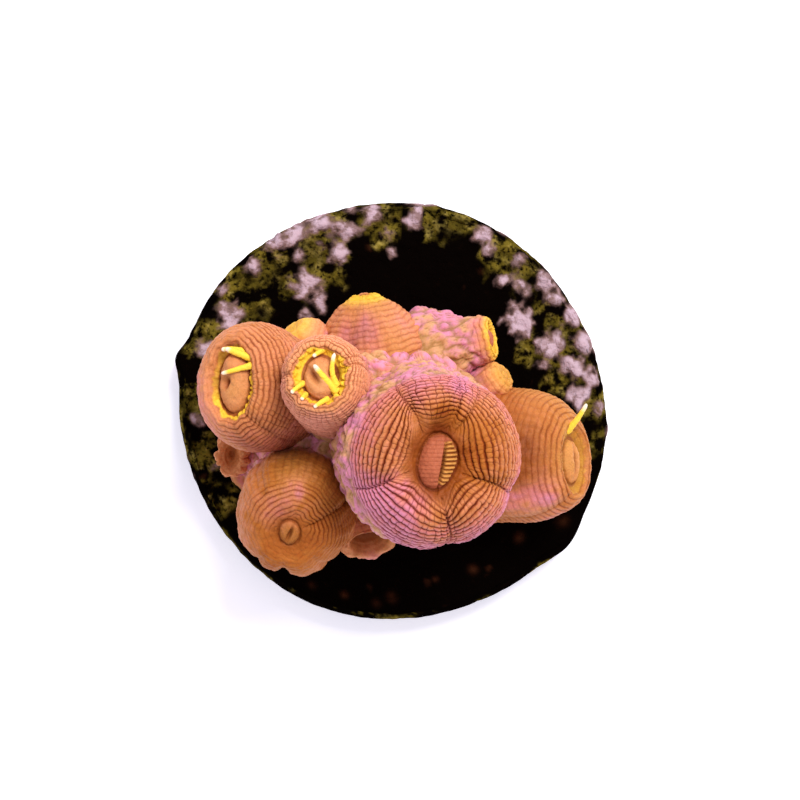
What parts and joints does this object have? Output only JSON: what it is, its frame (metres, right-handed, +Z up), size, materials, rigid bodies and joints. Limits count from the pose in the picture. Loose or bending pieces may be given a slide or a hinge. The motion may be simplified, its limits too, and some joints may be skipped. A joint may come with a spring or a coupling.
{
  "type": "sun coral colony",
  "caption": "Sun coral colony of ridged fleshy polyps growing from a shared crust on a round frag disc, flat underneath to rest on a surface.",
  "frame": {"origin": "centre of the disc's flat underside", "axes": "+Z up; the colony's front, where the tall polyp leans, faces -Y, with +X to the viewer's right"},
  "size_m": [0.0323, 0.0312, 0.0271],
  "materials": {
    "crusted_disc": "rough, near black, crusted with olive and lilac coralline patches",
    "shared_tissue": "moist satin tissue over limy skeleton, tan to lilac with olive furrows",
    "polyp_tissue": "moist satin tissue over limy skeleton, salmon orange to pink with dark furrows",
    "golden_tissue": "moist satin golden yellow tissue"
  },
  "bodies": {
    "root": {"frag_disc": "crusted_disc", "colony_base": "shared_tissue", "tall_polyp": "polyp_tissue", "small_polyp": "polyp_tissue", "left_polyp": "polyp_tissue", "front_left_polyp": "polyp_tissue", "right_polyp": "polyp_tissue", "back_polyp": "polyp_tissue", "back_right_polyp": "polyp_tissue", "front_bud": "polyp_tissue", "back_left_bud": "golden_tissue", "right_bud": "golden_tissue"}
  },
  "joints": []
}
